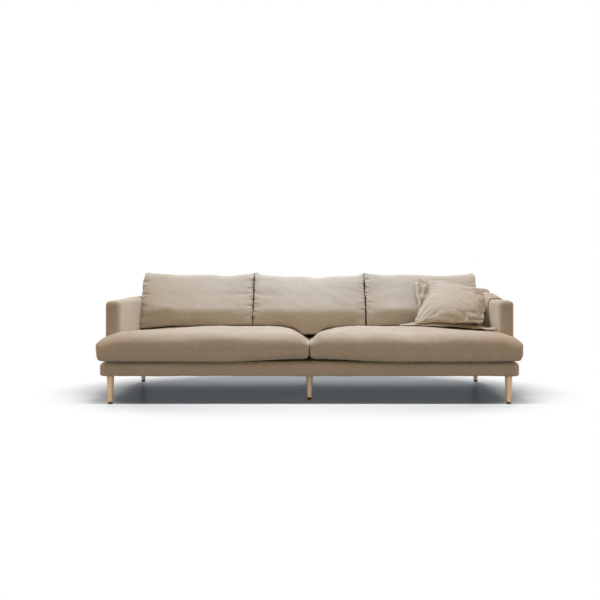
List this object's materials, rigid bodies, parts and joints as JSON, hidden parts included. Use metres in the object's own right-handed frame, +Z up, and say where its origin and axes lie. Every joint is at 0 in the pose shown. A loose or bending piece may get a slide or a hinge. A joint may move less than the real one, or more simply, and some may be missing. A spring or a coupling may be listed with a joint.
{
  "type": "three-seat sofa",
  "caption": "Low upholstered sofa with loose seat and back cushions, slim padded arms, round tapered wooden legs, a scatter cushion and a throw.",
  "frame": {"origin": "on the floor, under the middle of the whole sofa", "axes": "+X along the seat towards the sitter's left as they face it from the front, -Y towards the front, +Z up"},
  "size_m": [2.55, 0.98, 0.7782],
  "materials": {
    "linen": "pale sand linen-look weave",
    "throw_linen": "creamy woven throw",
    "dark_cloth": "black non-woven dust cloth",
    "foam": "open-cell cushion foam",
    "webbing_tape": "woven elastic webbing",
    "pale_beech": "clear matt lacquer",
    "frame_timber": "sawn and planed",
    "hardboard": "pressed board",
    "zinc_steel": "zinc plated",
    "spring_steel": "blued spring wire",
    "glide_plastic": "moulded",
    "zip_plastic": "woven tape with moulded teeth"
  },
  "bodies": {
    "frame": {"arm_boards": "hardboard", "arm_cover_left": "linen", "arm_cover_right": "linen", "arm_foam_left": "foam", "arm_foam_right": "foam", "arm_frame_left": "frame_timber", "arm_frame_right": "frame_timber", "back_cover": "linen", "back_foam": "foam", "back_rails": "frame_timber", "back_uprights": "frame_timber", "back_webbing": "webbing_tape", "base_back_rail": "frame_timber", "base_centre_rail": "frame_timber", "base_cover": "linen", "base_foam": "foam", "base_front_rail": "frame_timber", "base_side_rail_left": "frame_timber", "base_side_rail_right": "frame_timber", "corner_blocks": "frame_timber", "deck_cloth": "linen", "deck_pad": "foam", "dust_cover": "dark_cloth", "frame_bolts": "zinc_steel", "leg_back_centre": "pale_beech", "leg_back_left": "pale_beech", "leg_back_right": "pale_beech", "leg_bolts": "zinc_steel", "leg_front_centre": "pale_beech", "leg_front_left": "pale_beech", "leg_front_right": "pale_beech", "leg_glides": "glide_plastic", "leg_plate_screws": "zinc_steel", "leg_plates": "zinc_steel", "seat_springs": "spring_steel", "spring_clips": "spring_steel"},
    "back_cushion_centre": {"back_core_centre": "foam", "back_cushion_cover_centre": "linen", "back_zip_centre": "zip_plastic"},
    "back_cushion_left": {"back_core_left": "foam", "back_cushion_cover_left": "linen", "back_zip_left": "zip_plastic"},
    "back_cushion_right": {"back_core_right": "foam", "back_cushion_cover_right": "linen", "back_zip_right": "zip_plastic"},
    "back_zip_slider_centre": {"back_zip_slider_centre": "zinc_steel"},
    "back_zip_slider_left": {"back_zip_slider_left": "zinc_steel"},
    "back_zip_slider_right": {"back_zip_slider_right": "zinc_steel"},
    "scatter_cushion": {"scatter_core": "foam", "scatter_cover": "linen"},
    "seat_cushion_left": {"seat_core_left": "foam", "seat_cover_left": "linen", "seat_zip_left": "zip_plastic"},
    "seat_cushion_right": {"seat_core_right": "foam", "seat_cover_right": "linen", "seat_zip_right": "zip_plastic"},
    "seat_zip_slider_left": {"seat_zip_slider_left": "zinc_steel"},
    "seat_zip_slider_right": {"seat_zip_slider_right": "zinc_steel"},
    "throw": {"throw": "throw_linen"}
  },
  "joints": [
    {"name": "seat_cushion_left_pull_out", "type": "slide", "parent": "frame", "child": "seat_cushion_left", "axis": [0, -1, 0], "range_m": [0, 0.9]},
    {"name": "seat_zip_left_run", "type": "slide", "parent": "seat_cushion_left", "child": "seat_zip_slider_left", "axis": [1, 0, 0], "range_m": [0, 1.02]},
    {"name": "seat_cushion_right_pull_out", "type": "slide", "parent": "frame", "child": "seat_cushion_right", "axis": [0, -1, 0], "range_m": [0, 0.9]},
    {"name": "seat_zip_right_run", "type": "slide", "parent": "seat_cushion_right", "child": "seat_zip_slider_right", "axis": [-1, 0, 0], "range_m": [0, 1.02]},
    {"name": "back_cushion_left_lift", "type": "slide", "parent": "frame", "child": "back_cushion_left", "axis": [0, 0.1395, 0.9902], "range_m": [0, 0.45]},
    {"name": "back_zip_left_run", "type": "slide", "parent": "back_cushion_left", "child": "back_zip_slider_left", "axis": [-1, 0, 0], "range_m": [0, 0.635]},
    {"name": "back_cushion_centre_lift", "type": "slide", "parent": "frame", "child": "back_cushion_centre", "axis": [0, 0.1395, 0.9902], "range_m": [0, 0.45]},
    {"name": "back_zip_centre_run", "type": "slide", "parent": "back_cushion_centre", "child": "back_zip_slider_centre", "axis": [-1, 0, 0], "range_m": [0, 0.635]},
    {"name": "back_cushion_right_lift", "type": "slide", "parent": "frame", "child": "back_cushion_right", "axis": [0, 0.1395, 0.9902], "range_m": [0, 0.45]},
    {"name": "back_zip_right_run", "type": "slide", "parent": "back_cushion_right", "child": "back_zip_slider_right", "axis": [-1, 0, 0], "range_m": [0, 0.635]},
    {"name": "throw_lift", "type": "slide", "parent": "back_cushion_right", "child": "throw", "axis": [0, -0.3, 0.9539], "range_m": [0, 0.6]},
    {"name": "scatter_cushion_lift", "type": "slide", "parent": "throw", "child": "scatter_cushion", "axis": [0, -0.57, 0.8216], "range_m": [0, 0.45]}
  ]
}
